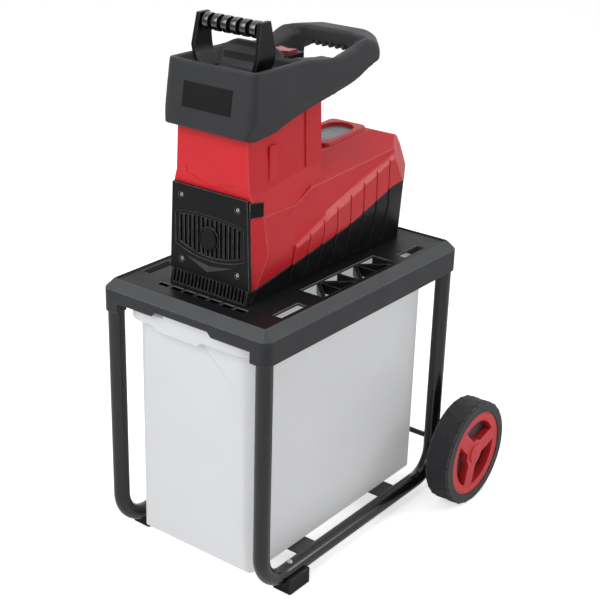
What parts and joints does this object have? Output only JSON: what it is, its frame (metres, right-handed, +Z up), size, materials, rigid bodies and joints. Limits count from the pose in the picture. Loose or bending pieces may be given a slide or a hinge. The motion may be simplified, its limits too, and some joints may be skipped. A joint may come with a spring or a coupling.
{
  "type": "garden shredder",
  "caption": "Wheeled electric garden shredder with a red and black housing, loop-handled feed hopper with pusher, tube frame and slide-out translucent collection box.",
  "frame": {"origin": "on the ground, below the middle of the whole machine", "axes": "+Z up, the feed hopper's front faces -Y, the wheels are at the +Y end"},
  "size_m": [0.514, 0.629, 0.9333],
  "materials": {
    "dark_plastic": "fine grained satin",
    "black_plastic": "matte",
    "gloss_black": "gloss",
    "red_plastic": "semi-gloss",
    "milky_plastic": "translucent, smooth",
    "clear_plastic": "clear",
    "tube_paint": "powder coat, semi-gloss",
    "tyre_rubber": "matte",
    "zinc_steel": "zinc plated",
    "plain_steel": "plain",
    "dark_steel": "blackened",
    "plate_metal": "satin",
    "cast_alloy": "cast",
    "copper_winding": "lacquered winding"
  },
  "bodies": {
    "base": {"table": "dark_plastic", "frame_tube_left": "tube_paint", "frame_tube_right": "tube_paint", "crossbar_front": "tube_paint", "crossbar_rear": "tube_paint", "foot_left": "black_plastic", "foot_right": "black_plastic", "foot_screws": "zinc_steel", "leg_screws": "zinc_steel", "housing_screws": "zinc_steel", "axle": "plain_steel", "axle_spacers": "black_plastic", "axle_push_nuts": "zinc_steel", "lower_housing": "black_plastic", "upper_housing": "red_plastic", "front_cover": "black_plastic", "cover_screws": "dark_steel", "rating_plate": "plate_metal", "hopper": "dark_plastic", "front_plate": "gloss_black", "feed_chute": "black_plastic", "cutting_chamber": "cast_alloy", "roller_bearings": "zinc_steel", "gearbox_case": "cast_alloy", "motor_casing": "cast_alloy", "motor_stator": "copper_winding", "motor_bearings": "zinc_steel", "motor_end_bracket": "cast_alloy", "switch_box": "black_plastic", "mains_inlet": "black_plastic"},
    "wheel_left": {"wheel_rim_left": "red_plastic", "tyre_left": "tyre_rubber", "hub_cap_left": "red_plastic"},
    "wheel_right": {"wheel_rim_right": "red_plastic", "tyre_right": "tyre_rubber", "hub_cap_right": "red_plastic"},
    "box": {"collection_box": "milky_plastic"},
    "pusher": {"pusher_body": "black_plastic", "pusher_grip": "black_plastic"},
    "roller": {"cutting_roller": "plain_steel", "output_gear": "plain_steel"},
    "intermediate": {"intermediate_gear": "plain_steel"},
    "rotor": {"motor_rotor": "plain_steel", "motor_fan": "black_plastic"},
    "counter": {"counter_plate": "cast_alloy"},
    "adjuster": {"adjusting_screw": "black_plastic"},
    "power_switch": {"power_rocker": "red_plastic"},
    "reverse_switch": {"reverse_rocker": "black_plastic"},
    "reset": {"reset_button": "clear_plastic"}
  },
  "joints": [
    {"name": "wheel_left_spin", "type": "hinge", "parent": "base", "child": "wheel_left", "pos_m": [-0.232, 0.2145, 0.1], "axis": [1, 0, 0], "continuous": true},
    {"name": "wheel_right_spin", "type": "hinge", "parent": "base", "child": "wheel_right", "pos_m": [0.232, 0.2145, 0.1], "axis": [1, 0, 0], "continuous": true},
    {"name": "box_slide", "type": "slide", "parent": "base", "child": "box", "axis": [0, -1, 0], "range_m": [0, 0.45]},
    {"name": "pusher_lift", "type": "slide", "parent": "base", "child": "pusher", "axis": [0, 0, 1], "range_m": [0, 0.25]},
    {"name": "roller_spin", "type": "hinge", "parent": "base", "child": "roller", "pos_m": [0, -0.1897, 0.592], "axis": [0, 1, 0], "continuous": true},
    {"name": "intermediate_spin", "type": "hinge", "parent": "base", "child": "intermediate", "pos_m": [0, -0.125, 0.631], "axis": [0, 1, 0], "continuous": true},
    {"name": "rotor_spin", "type": "hinge", "parent": "base", "child": "rotor", "pos_m": [0, -0.05, 0.592], "axis": [0, 1, 0], "continuous": true},
    {"name": "adjuster_turn", "type": "hinge", "parent": "base", "child": "adjuster", "pos_m": [-0.1, -0.1897, 0.592], "axis": [1, 0, 0], "range_deg": [0, 361]},
    {"name": "counter_slide", "type": "slide", "parent": "base", "child": "counter", "axis": [1, 0, 0], "range_m": [0, 0.002]},
    {"name": "power_rock", "type": "hinge", "parent": "base", "child": "power_switch", "pos_m": [0.01, -0.0745, 0.8591], "axis": [0, 1, 0], "range_deg": [-8, 8]},
    {"name": "reverse_rock", "type": "hinge", "parent": "base", "child": "reverse_switch", "pos_m": [-0.027, -0.0745, 0.8591], "axis": [0, 1, 0], "range_deg": [-8, 8]},
    {"name": "reset_press", "type": "slide", "parent": "base", "child": "reset", "axis": [0, 0, -1], "range_m": [0, 0.003], "stiffness_N_per_m": 400, "springref_m": -0.002}
  ],
  "couplings": [
    {"joint": "intermediate_spin", "follows": "roller_spin", "ratio": -3.3333},
    {"joint": "rotor_spin", "follows": "roller_spin", "ratio": 14},
    {"joint": "adjuster_turn", "follows": "counter_slide", "rad_per_m": 3141.6}
  ]
}
